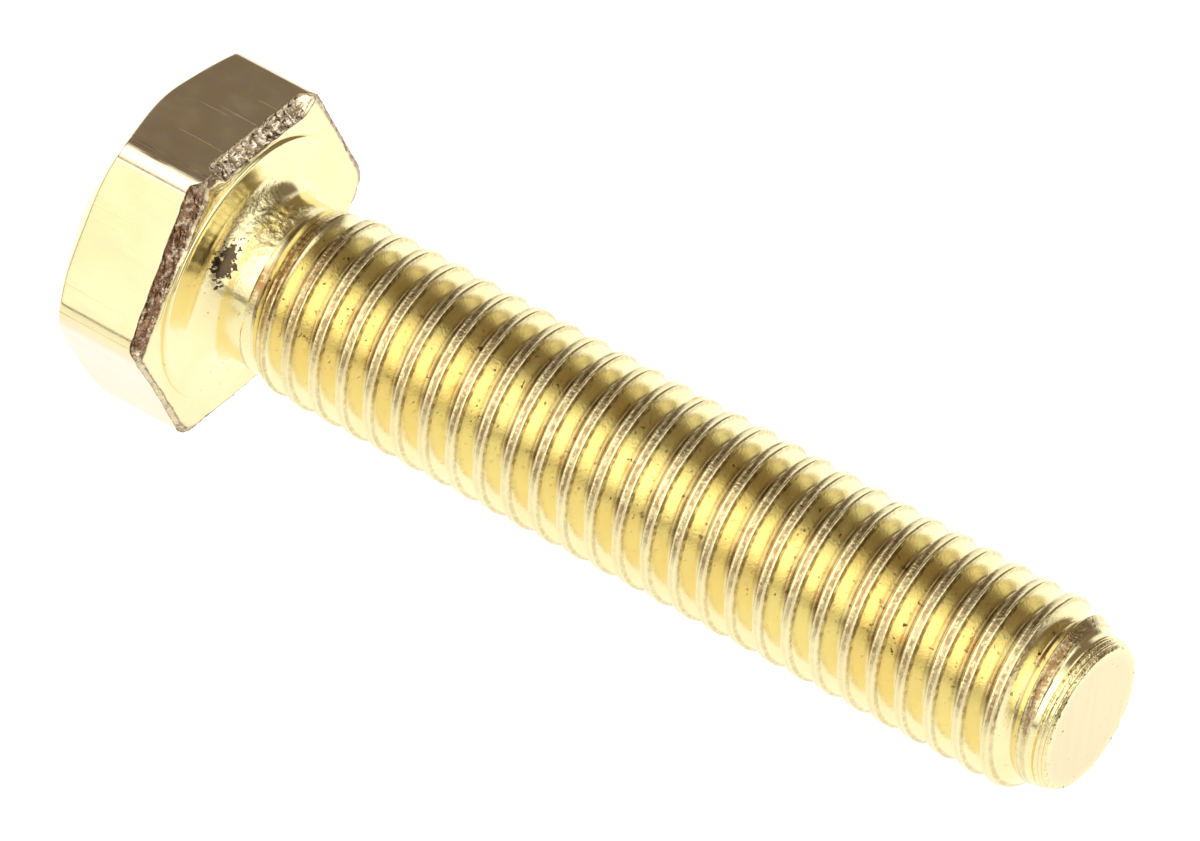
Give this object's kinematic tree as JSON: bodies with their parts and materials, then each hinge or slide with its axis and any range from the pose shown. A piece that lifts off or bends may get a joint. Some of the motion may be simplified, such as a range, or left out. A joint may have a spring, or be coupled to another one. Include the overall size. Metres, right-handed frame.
{
  "type": "hex bolt",
  "caption": "Fully threaded brass hex set screw, M6 x 1 right-hand thread, 30 mm long, with a washer face under a hexagonal head and a sheared flat point.",
  "frame": {"origin": "centre of the bearing face under the head, on the screw axis", "axes": "+X along the screw axis from the head to the point, +Z is the outward normal of one flat of the head, and +Y points to a corner of the head"},
  "size_m": [0.0338, 0.011, 0.0098],
  "materials": {
    "head_brass": "drawn flats with fine lengthwise scratches and torn brown lower edges",
    "bearing_brass": "smooth forged, slightly dished",
    "neck_brass": "forged fillet, bright with patches of fine pitting",
    "thread_brass": "rolled and glossy, with a fine seam along the crests and brown stains in the roots",
    "point_brass": "sheared flat, satin, with faint scratches"
  },
  "bodies": {
    "root": {"hex_head": "head_brass", "washer_face": "bearing_brass", "neck": "neck_brass", "thread": "thread_brass", "point": "point_brass"}
  },
  "joints": []
}
